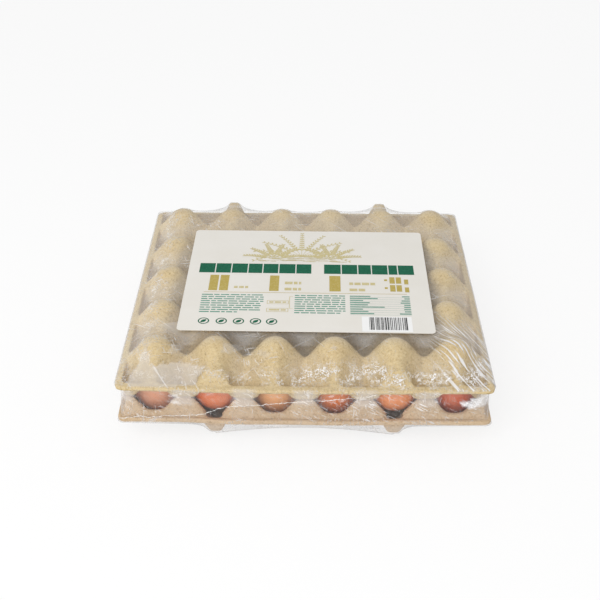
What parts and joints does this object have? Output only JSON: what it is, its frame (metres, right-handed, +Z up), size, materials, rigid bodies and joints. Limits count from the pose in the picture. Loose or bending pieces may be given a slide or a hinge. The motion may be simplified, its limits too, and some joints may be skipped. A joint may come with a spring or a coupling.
{
  "type": "pulp egg tray pack",
  "caption": "Square pack of eggs in two moulded pulp trays set face to face, shrink-wrapped in clear film with a flat paper label on top.",
  "frame": {"origin": "middle of the pack's footprint, on the surface that it stands on", "axes": "+Z up through the label, -Y towards the front wall whose lugs point down, +X along the six columns of cups"},
  "size_m": [0.2962, 0.2962, 0.0777],
  "materials": {
    "lower_pulp": "rough moulded paper pulp, pinkish beige",
    "upper_pulp": "rough moulded paper pulp, yellowish tan",
    "eggshell": "satin brown eggshell",
    "film": "clear glossy shrink film",
    "label_paper": "smooth printed paper"
  },
  "bodies": {
    "root": {"lower_tray": "lower_pulp", "upper_tray": "upper_pulp", "egg_row1_column1": "eggshell", "egg_row1_column2": "eggshell", "egg_row1_column3": "eggshell", "egg_row1_column4": "eggshell", "egg_row1_column5": "eggshell", "egg_row1_column6": "eggshell", "egg_row2_column1": "eggshell", "egg_row2_column2": "eggshell", "egg_row2_column3": "eggshell", "egg_row2_column4": "eggshell", "egg_row2_column5": "eggshell", "egg_row2_column6": "eggshell", "egg_row3_column1": "eggshell", "egg_row3_column2": "eggshell", "egg_row3_column3": "eggshell", "egg_row3_column4": "eggshell", "egg_row3_column5": "eggshell", "egg_row3_column6": "eggshell", "egg_row4_column1": "eggshell", "egg_row4_column2": "eggshell", "egg_row4_column3": "eggshell", "egg_row4_column4": "eggshell", "egg_row4_column5": "eggshell", "egg_row4_column6": "eggshell", "egg_row5_column1": "eggshell", "egg_row5_column2": "eggshell", "egg_row5_column3": "eggshell", "egg_row5_column4": "eggshell", "egg_row5_column5": "eggshell", "egg_row5_column6": "eggshell", "film_wrap": "film", "label": "label_paper"}
  },
  "joints": []
}
